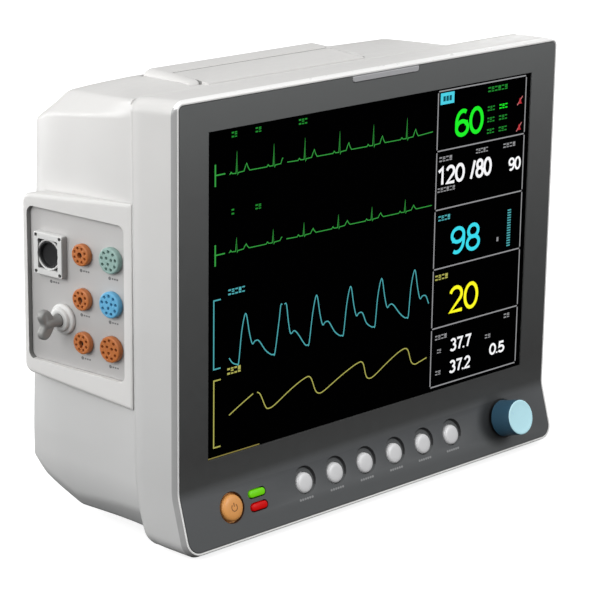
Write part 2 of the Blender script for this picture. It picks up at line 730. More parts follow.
def from_chin(place, x, up):
    """Where a point lies from (x, up) on the leaning strip: across, up and depth."""
    _, y, z = offset = Vector(place) - Vector(chin(x, up, 0.0))
    return offset.x, y * LEAN_SIN + z * LEAN_COS, y * LEAN_COS - z * LEAN_SIN


def sheet_look(place, _):
    """Slot of a face: 0 bezel, 1 dish, 2 brown ring, 3 black."""
    if place[2] > 50.0:
        return 0
    for x in KEY_X:
        across, up, depth = from_chin(place, x + DISH_SHIFT[0], KEY_UP + DISH_SHIFT[1])
        away = math.hypot(across, up)
        if away < 10.9 and 0.1 < depth < 2.95:
            return 3 if away > 9.05 and 0.62 * across + 0.78 * up > 1.5 else 1
    across, up, depth = from_chin(place, POWER_X, POWER_UP)
    if math.hypot(across, up) < POWER_RADIUS + 2.2 and depth > 0.1:
        return 2
    across, up, depth = from_chin(place, KNOB_X, KNOB_UP)
    if math.hypot(across, up) < 15.3 and depth > 0.08:
        return 3
    for lamp_up in LAMP_UP:
        across, up, depth = from_chin(place, LAMP_X, lamp_up)
        beside = abs(across) < LAMP_WIDTH / 2 + 1.6 and abs(up) < LAMP_HEIGHT / 2 + 1.2
        if beside and depth > 0.1:
            return 3
    return 0


def front_sheet():
    fascia = make("front_fascia_sheet", bent_sheet(), "dark_bezel", sharp=30)
    cut(fascia, boxes((-160.1, 160.1, -5, 10, 65.0, 293.0)))
    for x in KEY_X:
        cut(fascia, dish(x))
        cut(fascia, drum(KEY_RADIUS + 0.5, -3, 6, at(chin, x, KEY_UP), 48))
    reach = POWER_RADIUS
    cut(fascia, spin([(0, -3), (reach + 2.4, -3), (reach + 1.9, -0.02), (reach + 1.5, 0.25),
                      (reach + 1.35, 0.9), (reach + 1.3, 6), (0, 6)], 56,
                     at(chin, POWER_X, POWER_UP)))
    cut(fascia, spin([(0, -3), (15.6, -3), (15.2, -0.02), (14.7, 0.18), (14.3, 0.5), (4.6, 0.55),
                      (4.6, 6), (0, 6)], 64, at(chin, KNOB_X, KNOB_UP)))
    cut(fascia, *[prism(pill(LAMP_X - 0.3, up, LAMP_WIDTH + 2.2, LAMP_HEIGHT + 1.7, 0.01),
                        chin, -3, 6) for up in LAMP_UP])
    cut(fascia, prism(lens_outline(2.4, 320.0), face_on, -3, 6))
    paint(fascia, ("dark_bezel_dish", "dark_brown_ring", "black_moulding"), sheet_look)
    stands_for(fascia, "front_fascia")


def alarm_light():
    edge = lens_outline(2.0, FRONT_TOP - 0.02)
    inward = 0.5
    face = []
    for x, z in edge:
        side, up = x - 5.0, z - 311.1
        face.append((x - math.copysign(min(inward, abs(side)), side),
                     z - math.copysign(min(inward * 0.6, abs(up)), up)))
    rings = [ring(edge, face_on, 4.6), ring(edge, face_on, 0.0), ring(face, face_on, -0.45)]
    stands_for(make("alarm_light_diffuser", loft(rings), "alarm_lens_frosted"),
               "alarm_light_lens")


front_sheet()
alarm_light()

# ------------------------------------------------------------------ controls
KEY_PROFILE = [
    (0, -1.5), (1.8, -1.49), (3.4, -1.45), (4.8, -1.36), (5.9, -1.18), (6.5, -0.92),
    (6.95, -0.5), (7.3, 0.1), (KEY_RADIUS, 0.9), (KEY_RADIUS, 3.5), (9.3, 3.5), (9.3, 4.7),
    (3.0, 4.7), (3.0, 7.4), (0, 7.4)]
POWER_PROFILE = [
    (0, -2.2), (3.0, -2.18), (5.2, -2.1), (7.0, -1.86), (8.1, -1.45), (8.8, -0.9),
    (POWER_RADIUS - 0.1, -0.1), (POWER_RADIUS, 3.5), (11.1, 3.5), (11.1, 4.7), (3.4, 4.7),
    (3.4, 7.4), (0, 7.4)]
KNOB_PROFILE = [
    (0, -19.0), (4.0, -19.02), (8.0, -19.1), (11.0, -19.26), (12.0, -19.42), (12.7, -19.38),
    (13.1, -19.05), (13.3, -18.4), (13.45, -11.0), (13.65, -4.6), (13.8, -2.3), (13.9, -1.7),
    (11.9, -1.7), (11.5, -8.0), (5.6, -8.0), (5.6, -2.2), (3.4, -2.2), (3.4, -14.0), (0, -14.0)]


def soft_key(number, x):
    """A silver key and the row of six small marks below it."""
    cap = spin(KEY_PROFILE, 48, at(chin, x, KEY_UP))
    stands_for(make(f"soft_key_cap_{number}", cap, "key_silver", sharp=50), f"soft_key_{number}")
    marks = [prism(pill(x - 6.6 + 2.3 * k, KEY_UP - 11.3, 2.0, 1.7, 0.01, 4), chin, -0.06, 0.2)
             for k in range(6)]
    detail(make(f"soft_key_mark_{number}", merged(marks), "printed_pale"), "bezel_grey")


def power_button():
    cap = spin(POWER_PROFILE, 56, at(chin, POWER_X, POWER_UP))
    stands_for(make("power_button_cap", cap, "power_orange", sharp=50), "power_button")
    # The printed mark: a broken ring and an upright bar in its gap
    x, radius, width, front, back = POWER_X + 0.3, 2.5, 0.7, -2.27, -2.0
    broken_ring = (arc(x, POWER_UP, radius + width / 2, 130, 410, 26)
                   + arc(x, POWER_UP, radius - width / 2, 410, 130, 26))
    left, right, low, high = POWER_X - 0.05, POWER_X + 0.65, POWER_UP + 0.6, POWER_UP + 3.4
    upright = [(left, low), (right, low), (right, high), (left, high)]
    mark = merged([prism(loop, chin, front, back) for loop in (broken_ring, upright)])
    detail(make("power_button_mark", mark, "printed_brown"), "button_orange", "power_button")


def lamp(name, cad, up, look):
    rings = [ring(pill(LAMP_X, up, LAMP_WIDTH - 2 * inset, LAMP_HEIGHT - 2 * inset, 0.02), chin,
                  depth)
             for inset, depth in ((0.0, 5.0), (0.0, -0.1), (0.3, -0.45), (0.9, -0.68))]
    stands_for(make(name, loft(rings), look, sharp=60), cad)


def rotary_knob():
    def on_cap(place, _):
        across, up, depth = from_chin(place, KNOB_X, KNOB_UP)
        return -depth > 18.85 and math.hypot(across, up) < 12.9

    body = spin(KNOB_PROFILE, 96, at(chin, KNOB_X, KNOB_UP))
    knob = make("rotary_knob_body", body, "knob_side_blue", sharp=45)
    paint(knob, ["knob_face_blue"], on_cap)
    stands_for(knob, "rotary_knob")


for i, x in enumerate(KEY_X):
    soft_key(i + 1, x)
power_button()
lamp("power_lamp", "power_led_lens", LAMP_UP[0], "lamp_green")
lamp("battery_lamp", "battery_led_lens", LAMP_UP[1], "lamp_red")
rotary_knob()

# ------------------------------------------------------------------ picture tools
# The picture is a thin relief on the screen, drawn in (X, Z).
PICTURE_FRONT, PICTURE_BACK = 0.70, 0.88


def flat(loop):
    return prism(loop, face_on, PICTURE_FRONT, PICTURE_BACK)


def rectangle(x0, x1, z0, z1):
    return [(x0, z0), (x1, z0), (x1, z1), (x0, z1)]


def ribbon(points, width):
    """A line of even width, mitred at its corners, as one closed strip."""
    points = [Vector(p) for p in points]
    along = [(b - a).normalized() for a, b in zip(points, points[1:])]
    sides = [Vector((-t.y, t.x)) for t in along]
    last = len(sides)
    verts, faces = [], []
    for i, point in enumerate(points):
        side, reach = sides[min(i, last - 1)], 1.0
        if 0 < i < last:
            side = sides[i - 1] + sides[i]
            if side.length < 1e-6:
                side = sides[i - 1].copy()
            side.normalize()
            reach = min(1.0 / max(side.dot(sides[i - 1]), 0.3), 1.6)
        a, b = point + side * (width / 2 * reach), point - side * (width / 2 * reach)
        verts += [(a.x, PICTURE_FRONT, a.y), (b.x, PICTURE_FRONT, b.y),
                  (b.x, PICTURE_BACK, b.y), (a.x, PICTURE_BACK, a.y)]
    for start in range(0, 4 * last, 4):
        for i in range(4):
            j = (i + 1) % 4
            faces.append([start + i, start + j, start + 4 + j, start + 4 + i])
    faces.append([0, 1, 2, 3])
    faces.append([4 * last + i for i in (3, 2, 1, 0)])
    return solid(verts, faces)


def smooth(points, steps=5, tension=0.5):
    """A soft curve through the points."""
    p = [Vector(q) for q in points]
    p = [p[0] * 2 - p[1]] + p + [p[-1] * 2 - p[-2]]
    out = []
    for i in range(1, len(p) - 2):
        for k in range(steps):
            t = k / steps
            out.append(tuple(p[i] * (2 * t ** 3 - 3 * t * t + 1)
                             + (p[i + 1] - p[i - 1]) * tension * (t ** 3 - 2 * t * t + t)
                             + p[i + 1] * (-2 * t ** 3 + 3 * t * t)
                             + (p[i + 2] - p[i]) * tension * (t ** 3 - t * t)))
    out.append(tuple(p[-2]))
    return out


# Strokes of each numeral on a cell one unit high and 0.6 wide
SIX = (ellipse(0.34, 0.52, 0.27, 0.44, 60, 180, 12) + ellipse(0.31, 0.30, 0.24, 0.26, 180, 400, 20)
       + ellipse(0.31, 0.30, 0.24, 0.26, 40, 175, 10))
STROKES = {
    "0": [ellipse(0.3, 0.5, 0.25, 0.46, 90, 450, 28)],
    "1": [[(0.10, 0.76), (0.34, 0.96), (0.34, 0.02)]],
    "2": [ellipse(0.3, 0.69, 0.23, 0.27, 165, -38, 14) + [(0.08, 0.05), (0.56, 0.05)]],
    "3": [ellipse(0.28, 0.73, 0.21, 0.23, 150, -80, 14),
          ellipse(0.28, 0.28, 0.25, 0.25, 88, -150, 16)],
    "5": [[(0.50, 0.95), (0.14, 0.95), (0.10, 0.52)]
          + ellipse(0.28, 0.31, 0.25, 0.28, 125, -150, 16)],
    "6": [SIX],
    "7": [[(0.06, 0.95), (0.54, 0.95), (0.38, 0.55), (0.26, 0.02)]],
    "8": [ellipse(0.3, 0.73, 0.20, 0.23, -90, 270, 22),
          ellipse(0.3, 0.27, 0.24, 0.25, 90, 450, 24)],
    "9": [[(0.6 - x, 1.0 - y) for x, y in SIX]],
    "/": [[(0.06, -0.02), (0.34, 1.0)]],
    ".": [[(0.08, 0.0), (0.08, 0.13)]],
}
PITCH = {"/": 0.44, ".": 0.2, "1": 0.56}  # any other numeral takes 0.62


def number(text, x0, x1, z0, z1, width):
    """Numerals that fill x0 to x1 and z0 to z1, drawn with lines of the given width."""
    pitches = [PITCH.get(sign, 0.62) for sign in text]
    scale_x, scale_z = (x1 - x0) / sum(pitches), (z1 - z0)
    out, x = [], x0
    for sign, pitch in zip(text, pitches):
        for stroke in STROKES[sign]:
            out.append(ribbon([(x + a * scale_x, z0 + b * scale_z) for a, b in stroke], width))
        x += pitch * scale_x
    return out


def labels(*places):
    """Rows of small plain blocks that spell nothing, each x0, x1, z0, z1, count."""
    out = []
    for x0, x1, z0, z1, count in places:
        step = (x1 - x0) / count
        for i in range(count):
            half = (z1 - z0) * (0.30, 0.22, 0.26)[i % 3] / 2
            levels = [z0 + half, z1 - half]
            if i % 2:
                levels.insert(1, (z0 + z1) / 2 + 0.2)
            for z in levels:
                out.append(flat(rectangle(x0 + i * step, x0 + (i + 0.74) * step,
                                          z - half, z + half)))
    return out


def heart_line(beats, base, peak, dip, swell, start):
    """A flat run with, at each beat, a small bump, a tall spike, a dip and a swell."""
    points = [(start, base + 0.2)]
    for x in beats:
        points += [(x - 6.6, base - 0.2), (x - 5.4, base + 1.1), (x - 4.2, base - 0.1),
                   (x - 0.9, base - 0.3), (x - 0.15, peak), (x + 0.55, dip),
                   (x + 1.2, base - 0.1), (x + 6.2, base + 0.1), (x + 7.5, base + swell * 0.6),
                   (x + 8.7, base + swell), (x + 9.8, base + swell * 0.45), (x + 11.4, base)]
    return points


PULSE_LOW, PULSE_PEAK = 128.4, 162.4


def pulse_rise(low_x, peak_x):
    return [(low_x, PULSE_LOW), (low_x + 1.6, PULSE_LOW + 1.2), (peak_x - 3.6, PULSE_PEAK - 13),
            (peak_x - 1.0, PULSE_PEAK - 1.4), (peak_x + 0.9, PULSE_PEAK - 0.8),
            (peak_x + 3.6, PULSE_PEAK - 13.5), (peak_x + 6.4, 140.2), (peak_x + 9.0, 141.6),
            (peak_x + 12.6, 140.9)]


def pulse_fall(next_x):
    return [(next_x - 7.5, PULSE_LOW + 4.6), (next_x - 2.4, PULSE_LOW + 0.5)]


def bracket(x, z0, z1):
    """A square bracket that opens to the right."""
    return ribbon([(x + 6.2, z1), (x, z1), (x, z0), (x + 6.2, z0)], 0.95)


def draw(ink, shapes):
    detail(make("picture_" + ink, merged(shapes), INKS[ink][0]), "screen_glass")


# ------------------------------------------------------------------ picture on the screen
# Frames of the column of readings on the right
LEVELS = (291.2, 247.4, 203.6, 159.0, 113.7, 68.4)
COLUMN = (59.9, 154.9)
frames = [ribbon([(COLUMN[0] + 0.6, z), (COLUMN[1] - 0.6, z)], 0.95) for z in LEVELS]
frames += [ribbon([(x, low + 1.1), (x, high - 1.1)], 0.95)
           for high, low in zip(LEVELS, LEVELS[1:]) for x in COLUMN]
draw("grey", frames)

# A filled tag in the top frame with three dark blocks on it
draw("box", [flat(rectangle(62.3, 76.6, 281.2, 289.6))])
draw("ink", [prism(rectangle(65.0 + 3.2 * k, 67.4 + 3.2 * k, 283.4, 287.2), face_on,
                   PICTURE_FRONT - 0.06, PICTURE_FRONT + 0.05) for k in range(3)])
draw("green", number("60", 78.2, 109.2, 255.4, 274.6, width=3.0)
     + labels((126.0, 135.5, 269.9, 273.3, 3)))
draw("dimgreen", labels(
    (113.0, 135.0, 284.0, 287.6, 6), (113.2, 121.5, 269.9, 273.3, 3),
    (113.2, 121.5, 261.5, 264.9, 3), (126.0, 135.5, 261.5, 264.9, 3),
    (113.2, 121.5, 252.9, 256.3, 3), (126.0, 135.5, 252.9, 256.3, 3),
    (-139.2, -133.8, 286.4, 290.2, 2), (-117.8, -112.0, 286.8, 290.2, 2),
    (-78.0, -69.6, 286.4, 290.2, 3), (-139.0, -136.0, 234.0, 237.8, 1),
    (-117.4, -111.6, 234.0, 237.4, 2)))

# Two struck-through bells
BELLS = (273.0, 253.2)
draw("red", [flat([(146.6, z - 2.2), (151.0, z - 2.2), (150.0, z - 0.9), (149.6, z + 1.2),
                   (148.8, z + 2.4), (148.0, z + 1.2), (147.6, z - 0.9)]) for z in BELLS])
draw("redline", [ribbon([(145.8, z - 3.0), (151.4, z + 3.2)], 0.6) for z in BELLS])

draw("dim", labels((102.0, 115.5, 239.8, 243.2, 5), (132.0, 146.0, 239.6, 242.8, 4),
                   (62.8, 77.0, 239.2, 242.8, 4), (61.8, 81.0, 216.6, 219.8, 6))
     + [flat(rectangle(128.2, 130.2, 168.8, 172.0))]
     + labels((64.0, 77.2, 104.4, 107.8, 4), (66.6, 71.2, 93.8, 96.8, 2),
              (65.4, 71.6, 77.0, 80.2, 2), (119.2, 126.0, 94.6, 97.6, 2),
              (139.8, 146.8, 106.6, 110.0, 2)))
draw("white", number("120", 61.0, 90.4, 221.9, 234.9, width=2.35)
     + number("/80", 96.4, 119.6, 221.9, 234.9, width=2.35)
     + number("90", 138.8, 152.2, 221.3, 230.5, width=1.75)
     + number("37.7", 80.6, 103.6, 92.7, 101.9, width=1.75)
     + number("37.2", 80.4, 103.6, 75.7, 84.9, width=1.75)
     + number("0.5", 124.8, 142.0, 80.5, 88.7, width=1.75))

# The teal line, with a narrow gap between its two runs
PULSES = ((-67.0, -58.9), (-33.2, -25.5), (-1.4, 5.8), (33.0, 40.0))  # X of each low and peak
teal_1 = ([(-140.6, 134.2), (-137.4, 130.2)] + pulse_rise(-133.4, -125.8) + pulse_fall(-99.6)
          + [(-99.6, 128.4), (-98.0, 129.6), (-94.4, 152.0), (-93.0, 162.2), (-91.6, 162.6)])
teal_2 = [(-89.6, 162.6), (-87.6, 161.6), (-85.6, 149.0), (-83.4, 140.2), (-80.0, 141.4),
          (-76.4, 138.4), (-69.6, 129.4)]
for this, following in zip(PULSES, PULSES[1:]):
    teal_2 += pulse_rise(*this) + pulse_fall(following[0])
teal_2 += pulse_rise(*PULSES[-1]) + [(55.8, 134.6)]
draw("teal", labels((63.6, 76.8, 195.0, 198.8, 4))
     + [flat(rectangle(139.6, 143.4, 163.0 + 1.95 * i, 164.0 + 1.95 * i)) for i in range(15)]
     + [bracket(-154.6, 129.0, 177.2)] + labels((-141.6, -125.8, 178.6, 182.6, 5))
     + [ribbon(smooth(teal_1), 0.82), ribbon(smooth(teal_2), 0.82)])
draw("cyan", number("98", 77.6, 110.4, 167.4, 187.2, width=2.8))

# The slow olive line, also in two runs
olive_1 = [(-140.4, 93.4), (-130.0, 98.6), (-118.2, 104.0)]
olive_2 = [
    (-114.4, 104.2), (-111.4, 101.8), (-106.4, 91.8), (-103.2, 90.0), (-97.6, 91.4),
    (-83.0, 99.0), (-70.0, 104.2), (-63.6, 103.8), (-58.6, 93.2), (-54.6, 90.2), (-49.0, 91.4),
    (-33.0, 98.6), (-18.0, 104.0), (-11.6, 103.4), (-8.0, 93.0), (-4.4, 90.2), (1.0, 91.4),
    (14.0, 98.4), (27.0, 104.2), (34.4, 104.0), (38.6, 94.0), (42.6, 90.8), (48.0, 91.6),
    (55.2, 93.2)]
draw("olive", labels((62.2, 76.4, 150.4, 154.2, 4)) + [bracket(-154.4, 73.0, 120.8)]
     + labels((-142.2, -129.2, 122.6, 127.2, 4))
     + [ribbon(smooth(olive_1), 0.78), ribbon(smooth(olive_2), 0.78)])
draw("yellow", number("20", 77.4, 110.2, 122.2, 142.2, width=2.75))

# Two green heart lines; the first run of each stops partway up its last swell.
BEATS = (-134.3, -100.7, -71.8, -38.6, -5.4, 28.4)
draw("trace", [
    ribbon([(-153.6, 255.2), (-153.6, 270.2)], 1.2),
    ribbon([(-153.0, 262.9), (-144.8, 262.9)], 0.9),
    ribbon(heart_line(BEATS[:2], base=262.0, peak=276.4, dip=260.6, swell=5.2,
                      start=-139.6)[:-3] + [(-92.4, 265.8)], 0.62),
    ribbon(heart_line(BEATS[2:], base=262.0, peak=276.2, dip=260.4, swell=5.2, start=-88.4)
           + [(55.0, 262.8)], 0.62),
    ribbon([(-153.5, 200.9), (-153.5, 215.5)], 1.2),
    ribbon([(-152.9, 208.4), (-144.8, 208.4)], 0.9),
    ribbon(heart_line(BEATS[:2], base=208.4, peak=217.2, dip=207.2, swell=3.2,
                      start=-139.6)[:-3] + [(-92.4, 210.6)], 0.62),
    ribbon(heart_line(BEATS[2:], base=208.4, peak=217.0, dip=207.2, swell=3.2, start=-88.4)
           + [(56.0, 208.4)], 0.62),
])
draw("edge", [ribbon([(-159.5, 65.9), (-112.0, 65.9)], 0.8)])


# ------------------------------------------------------------------ rear case
def case_points(y):
    """The case's outline (X, Z) at y, from the lower left corner up and round."""
    y = min(y, 147.0)

    def along(*values):
        return float(np.interp(y, (SEAM_Y, 100.0, 134.0, 147.0), values))

    half, bottom = along(191.0, 190.8, 190.8, 191.0), along(12.5, 12.5, 27.0, 36.0)
    chamfer = along(14.5, 9.0, 5.0, 3.0)
    shoulder_z, top_x = along(302.0, 293.5, 288.7, 283.0), along(-189.4, -176.4, -169.4, -168.0)
    top_z = along(312.0, 305.4, 302.0, 292.5)
    right_x, right_z = along(127.0, 141.7, 150.0, 149.5), along(279.0, 273.0, 269.0, 263.0)
    ease = min(max((y - 50.0) / 85.0, 0.0), 1.0)
    ease = ease * ease * (3 - 2 * ease)
    curl = float(np.interp(y, (105.0, 118.0, 126.0, 132.5, 137.0, 141.0, 147.0),
                           (0.0, 0.3, 0.2, -0.1, -0.45, -1.0, -2.2)))
    low, high = half + 5.5 * ease + curl, half - 2.0 * ease + curl
    # The top swells towards the handle.
    swell = float(np.interp(y, (40.0, 62.0, 80.0, 100.0, 106.0, 118.0, 134.0, 147.0),
                            (0.0, 2.8, 4.6, 6.1, 6.1, 4.8, 1.8, 1.0)))
    side = 41.0 if bottom + chamfer < 39 else bottom + chamfer + 1.5
    return [(-low + chamfer * 0.45, bottom), (-low, bottom + chamfer), (-low, side), (-low, 62.0),
            (-high, shoulder_z), (top_x, top_z), (-152.0, top_z + swell * 0.6),
            (-134.0, top_z + swell), (40.0, top_z + swell), (right_x, top_z), (half, right_z),
            (half, 62.0), (half, side), (half, bottom + chamfer), (half - chamfer * 0.45, bottom)]


def inset(points, distance):
    """The outline moved inwards (outwards where distance is negative)."""
    if not distance:
        return points
    out = []
    for i in range(len(points)):
        before, corner, after = [Vector(points[j % len(points)]) for j in (i - 1, i, i + 1)]
        back, ahead = corner - before, after - corner
        normal = (Vector((back.y, -back.x)).normalized()
                  + Vector((ahead.y, -ahead.x)).normalized())
        normal = normal / max(normal.length_squared / 2, 0.35)
        if normal.dot(corner - Vector((0.0, 160.0))) > 0:
            normal = -normal
        point = corner + normal * distance
        out.append((point.x, point.y))
    return out


CORNER_RADII = [3, 3, 1, 1, 2.6, 2.6, 7, 7, 30, 14, 5, 1, 1, 3, 3]


def section(y, inward=0.0, back=None):
    """The case's outline at y, drawn at the depth back where that is given."""
    loop = fillet(inset(case_points(y), inward), CORNER_RADII)
    return ring(loop, face_on, back if back is not None else y)


def seam_section(points, back):
    return [(x, seam_y(z) + back, z) for x, z in fillet(points, CORNER_RADII)]


def seam_points(inward):
    """The case's front edge, with the same corners as case_points."""
    side, top = SEAM_HALF - inward, SEAM_TOP - inward
    return [(-SEAM_HALF + 7.0 + inward * .6, 5.2 + inward), (-side, 14.0 + inward * .6),
            (-side, 41.0), (-side, 62.0), (-side, 309.6 - inward),
            (-SEAM_HALF + 4.4 + inward, top), (-152.0, top), (-134.0, top), (40.0, top),
            (SEAM_HALF - 4.4 - inward, top), (side, 309.6 - inward), (side, 62.0), (side, 41.0),
            (side, 14.0 + inward * .6), (SEAM_HALF - 7.0 - inward * .6, 5.2 + inward)]


def case_shell():
    inside = [section(147.0, 5.6, 148.5), section(147.0, CASE_WALL + 0.8, 144.0),
              section(134.0, CASE_WALL, 133.0), section(100.0, CASE_WALL, 99.0),
              seam_section(inset(case_points(SEAM_Y), CASE_WALL + 0.4), 0.65)]
    outside = [seam_section(seam_points(inward), back) for inward, back in
               ((2.7, 0.12), (2.1, 0.14), (1.98, 0.4), (1.98, 2.4), (2.0, 2.7))]
    outside += [seam_section(inset(case_points(SEAM_Y), -0.02), 3.0),
                seam_section(case_points(SEAM_Y), 3.8)]
    outside += [section(y) for y in (52.0, 62.0, 71.0, 80.0, 90.0, 98.5, 101.5, 109.0, 118.0,
                                     126.0, 132.5, 135.5, 141.0, 147.0)]
    # The back edge turns in on a radius.
    radius, first = 5.28, math.radians(14.0)
    for k in range(1, 8):
        turn = math.radians(14.0 + (90 - 14.0) * k / 7)
        outside.append(section(147.0, radius * (math.cos(first) - math.cos(turn)),
                               147.0 + radius * (math.sin(turn) - math.sin(first))))
    return make("rear_case_shell", loft(inside + outside), "white_case", sharp=24)


def both_ends(start, end):
    """X spans at the two ends of the handle, measured inwards from each end."""
    return ((HANDLE_LEFT + start, HANDLE_LEFT + end), (HANDLE_RIGHT - end, HANDLE_RIGHT - start))


def pivot_holes(start, end):
    return [drum(PIVOT_RADIUS, x0, x1, at(side_on, PIVOT_Y, PIVOT_Z), 24)
            for x0, x1 in both_ends(start, end)]


def cut_handle_bay(case):
    join(case, boxes((HANDLE_LEFT - 3.0, HANDLE_RIGHT + 3.0, SEAM_Y + 4.0, BAR_BACK + 3.4,
                      302.6, 309.2)))
    block = fillet([(SEAM_Y + 3.4, 303.0), (BAR_FRONT - 2.4, 303.0),
                    (BAR_FRONT - 2.4, BAR_TOP - 0.6), (SEAM_Y + 3.4, 314.0)], 0.8, 3)
    join(case, prism(block, side_on, HANDLE_LEFT + ARM + 0.5, HANDLE_RIGHT - ARM - 0.5))
    behind = (BAR_BACK + 0.7, 305.0, 330.0)
    cut(case, boxes(*[(*ends, 50.6, *behind) for ends in both_ends(-0.4, ARM + 0.5)]))
    left, right = HANDLE_LEFT + 11.0, HANDLE_RIGHT - 11.0
    cut(case, boxes((left, right, BAR_FRONT - 0.8, *behind),
                    (left, right, SEAM_Y + 6.0, BAR_FRONT - 5.0, 290.0, 311.0)))
    cut(case, boxes(*[(*ends, BAR_FRONT - 0.8, *behind) for ends in both_ends(ARM, 11.5)]))
    cut(case, prism(rounded_rect(-84.0, -12.0, 98.0, 119.0, 7.0), top_down, BAR_LOW, 330.0))
    cut(case, *pivot_holes(ARM, 14.5))


def cut_door_bay(case):
    front, back = DOOR_Y
    join(case, boxes((184.0, 189.6, front - 4, back + 4, 34.0, 102.0)))
    cut(case, boxes((180.0, 195.0, front, back, *DOOR_Z)))
    cut(case, drum(1.3, front - 2.4, back + 2.4, at(face_on, HINGE_X, HINGE_Z), 16))


def back_slot(x0, x1, z, height):
    return prism(rounded_rect(x0, x1, z, z + height, height / 2 - 0.01, 5), face_on, 140.0, 160.0)


def in_handle_groove(place, normal):
    x, y, z = place
    inside = HANDLE_LEFT - 1.0 < x < HANDLE_RIGHT + 1.0 and 50.0 < y < 105.5
    return inside and 304.5 < z < 316.0 and normal.z < 0.7 and normal.y < 0.5


def rear_case():
    case = case_shell()
    cut_handle_bay(case)
    cut_door_bay(case)
    # Openings behind the sensor pod and for the sheet of ports
    cut(case, boxes((-200.0, -180.0, RECESS_Y[0] + 1.2, RECESS_Y[1] + 0.6, *RECESS_Z)))
    cut(case, boxes((44.0, 146.0, 140.0, 160.0, 56.0, 104.0)))
    cut(case, *[back_slot(side * 105 - 32, side * 105 + 32, 222.0 + i * 6.0, 2.6)
                for side in (-1, 1) for i in range(7)])
    cut(case, *[back_slot(-110, -66, z, 2.4) for z in (66, 72, 78, 84, 90)])
    cut(case, *[drum(4.2, CASE_BACK - 1.3, CASE_BACK + 5, at(face_on, x, z), 28)
                for x, z in CASE_SCREWS])
    cut(case, *[drum(1.9, CASE_BACK - 6.0, CASE_BACK + 2, at(face_on, x, z), 16)
                for x, z in CASE_SCREWS])
    paint(case, ["shadow_groove"], in_handle_groove)
    stands_for(case, "rear_case")


def case_screw(index, x, z):
    profile = [(0, 139), (1.4, 139), (1.4, 150.1), (3.6, 150.1), (3.6, 151.0), (3.3, 151.5),
               (2.4, 151.85), (0, 151.9)]
    screw = make(f"case_screw_{index}", spin(profile, 32, at(face_on, x, z)), "nickel_plate",
                 sharp=40)
    for half_x, half_z in ((2.2, 0.4), (0.4, 2.2)):
        cut(screw, boxes((x - half_x, x + half_x, 151.2, 154, z - half_z, z + half_z)))
    stands_for(screw, f"rear_screw_{index}")


rear_case()
for i, (x, z) in enumerate(CASE_SCREWS):
    case_screw(i + 1, x, z)

# ------------------------------------------------------------------ handle
# Outlines in (Y, Z)
BAR_ROUND = arc(BAR_BACK - 4.6, BAR_TOP - 4.6, 4.6, 0, 90, 9)
ARM_OUTLINE = ([(57.0, 314.7), (54.8, 314.2), (53.0, 313.0), (52.0, 311.4)]
               + arc(PIVOT_Y, PIVOT_Z, 4.2, 180, 270, 9) + [(BAR_BACK, BAR_LOW)] + BAR_ROUND
               + [(91.0, BAR_TOP - 0.1), (74.0, 315.6)])
GRIP_OUTLINE = ([(BAR_FRONT, BAR_LOW), (BAR_BACK, BAR_LOW)] + BAR_ROUND
                + [(91.0, BAR_TOP - 0.12), (BAR_FRONT + 0.8, BAR_TOP - 0.42),
                   (BAR_FRONT, BAR_TOP - 1.2)])


def rolled_arm(x, drop):
    """The arm's outline at x, its top lowered most at the back and its back end drawn in."""
    out = []
    for y, z in ARM_OUTLINE:
        share = 0.35 + 0.65 * min(max((y - PIVOT_Y) / 40.0, 0.0), 1.0)
        drawn_in = 0.55 * drop * min(max((y - 60.0) / 44.0, 0.0), 1.0)
        out.append((x, y - drawn_in, z - drop * share * (z - BAR_LOW) / 11.0))
    return out


def carry_handle():
    soft, roll = 7.0, 4.8
    left_arm = [rolled_arm(HANDLE_LEFT + ARM, 0.0)]
    for k in range(9):
        turn = math.radians(11.25 * k)
        left_arm.append(rolled_arm(HANDLE_LEFT + soft * (1 - math.sin(turn)),
                                   roll * (1 - math.cos(turn))))
    right_arm = [[(HANDLE_LEFT + HANDLE_RIGHT - x, y, z) for x, y, z in row] for row in left_arm]
    handle = make("carry_handle_bar", loft(left_arm), "white_shell", sharp=30)
    join(handle, prism(GRIP_OUTLINE, side_on, HANDLE_LEFT + 7.4, HANDLE_RIGHT - 7.4))
    join(handle, loft(right_arm))
    cut(handle, *pivot_holes(-2, ARM + 2))
    paint(handle, ["shadow_groove"],
          lambda place, normal: normal.y < -0.7 and place[1] > BAR_FRONT - 2.5)
    stands_for(handle, "carry_handle")


carry_handle()


# ------------------------------------------------------------------ battery door
def battery_door():
    front, back = DOOR_Y
    leaf = (arc(HINGE_X, HINGE_Z, 2.0, 180, 360, 17) + arc(HINGE_X + 1.2, 96.8, 0.8, 0, 90, 5)
            + [(HINGE_X - 2.0, 97.6)])
    door = make("battery_door_leaf", prism(leaf, face_on, front + 0.4, back - 0.4),
                "white_shell", sharp=30)
    join(door, drum(1.0, front - 2.0, back + 2.0, at(face_on, HINGE_X, HINGE_Z), 16))
    cut(door, prism(rounded_rect(85, 110, 84, 90, 2.9), side_on, HINGE_X + 0.8, HINGE_X + 4.0))
    cut(door, boxes(*[(HINGE_X + 1.5, HINGE_X + 4, 70, 125, z, z + 0.9)
                      for z in (50.0, 53.0, 56.0, 59.0)]))
    stands_for(door, "battery_door")


battery_door()

# ------------------------------------------------------------------ sensor pod
POD_FRONT, POD_BACK = 40.15, 140.5
POD_ROOT_X = -191.45


def pod_outline(inward):
    """The pod's outline in (Y, Z); points 9 to 12 are its front edge."""
    front, radius = POD_FRONT + inward * .7, 7 - inward
    return (arc(POD_BACK - 7, 234.5 - 7, radius, 4.5, 90, 9)
            + [(POD_FRONT + 1 + inward * .7, 242.4 - inward), (front, 242.2 - inward),
               (front, 98.7 + inward), (POD_FRONT + 1 + inward * .7, 98.5 + inward)]
            + arc(POD_BACK - 7, 105.0 + 7, radius, 270, 355.5, 9))


